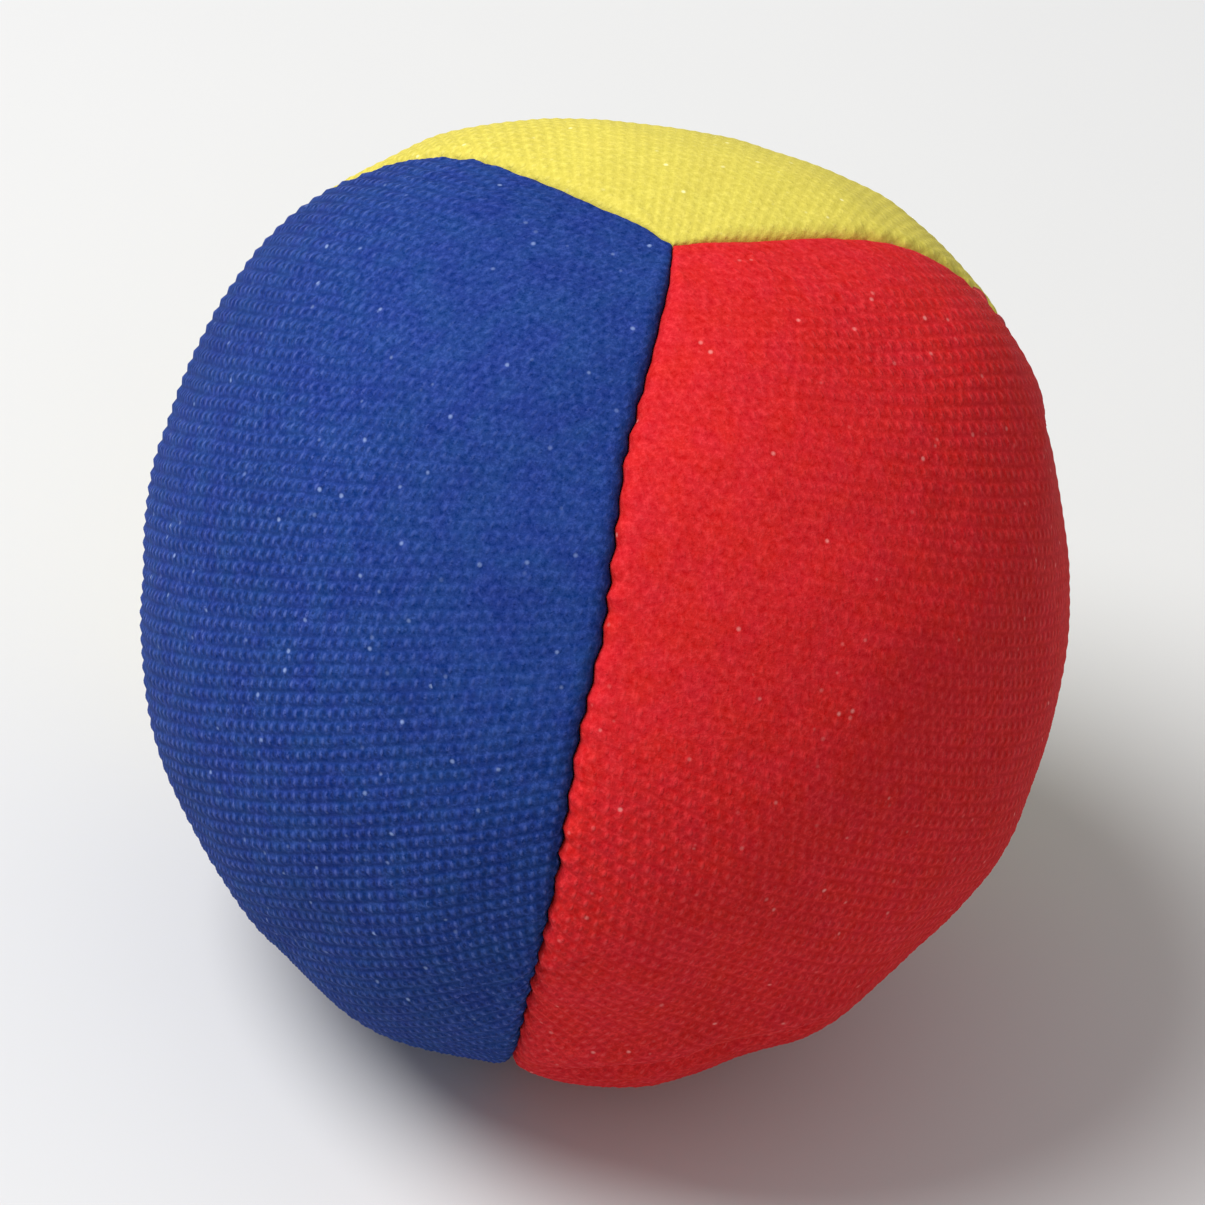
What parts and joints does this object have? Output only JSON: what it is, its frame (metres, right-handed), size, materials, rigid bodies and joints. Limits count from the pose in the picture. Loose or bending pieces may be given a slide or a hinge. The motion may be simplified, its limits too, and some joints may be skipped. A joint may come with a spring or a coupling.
{
  "type": "juggling ball",
  "caption": "Soft juggling beanbag ball of pointed red, yellow and blue knit panels sewn pole to pole around a pellet filling.",
  "frame": {"origin": "the base pole, at the middle of the flat that the ball rests on", "axes": "+Z from the base pole to the top pole, where the three panels meet; -Y through the seam between the blue and red panels; +X to the red panel's side"},
  "size_m": [0.065, 0.065, 0.0635],
  "materials": {
    "red_knit": "fine knit with a slight sheen",
    "yellow_knit": "fine knit with a slight sheen",
    "blue_knit": "fine knit with a slight sheen",
    "thread": "red spun polyester sewing thread",
    "pellets": "undyed moulding pellets, cut from strand"
  },
  "bodies": {
    "root": {"panel_red": "red_knit", "panel_yellow": "yellow_knit", "panel_blue": "blue_knit", "needle_thread_blue_red": "thread", "bobbin_thread_blue_red": "thread", "needle_thread_red_yellow": "thread", "bobbin_thread_red_yellow": "thread", "needle_thread_yellow_blue": "thread", "bobbin_thread_yellow_blue": "thread", "closing_thread": "thread", "filling_pellets": "pellets"}
  },
  "joints": []
}
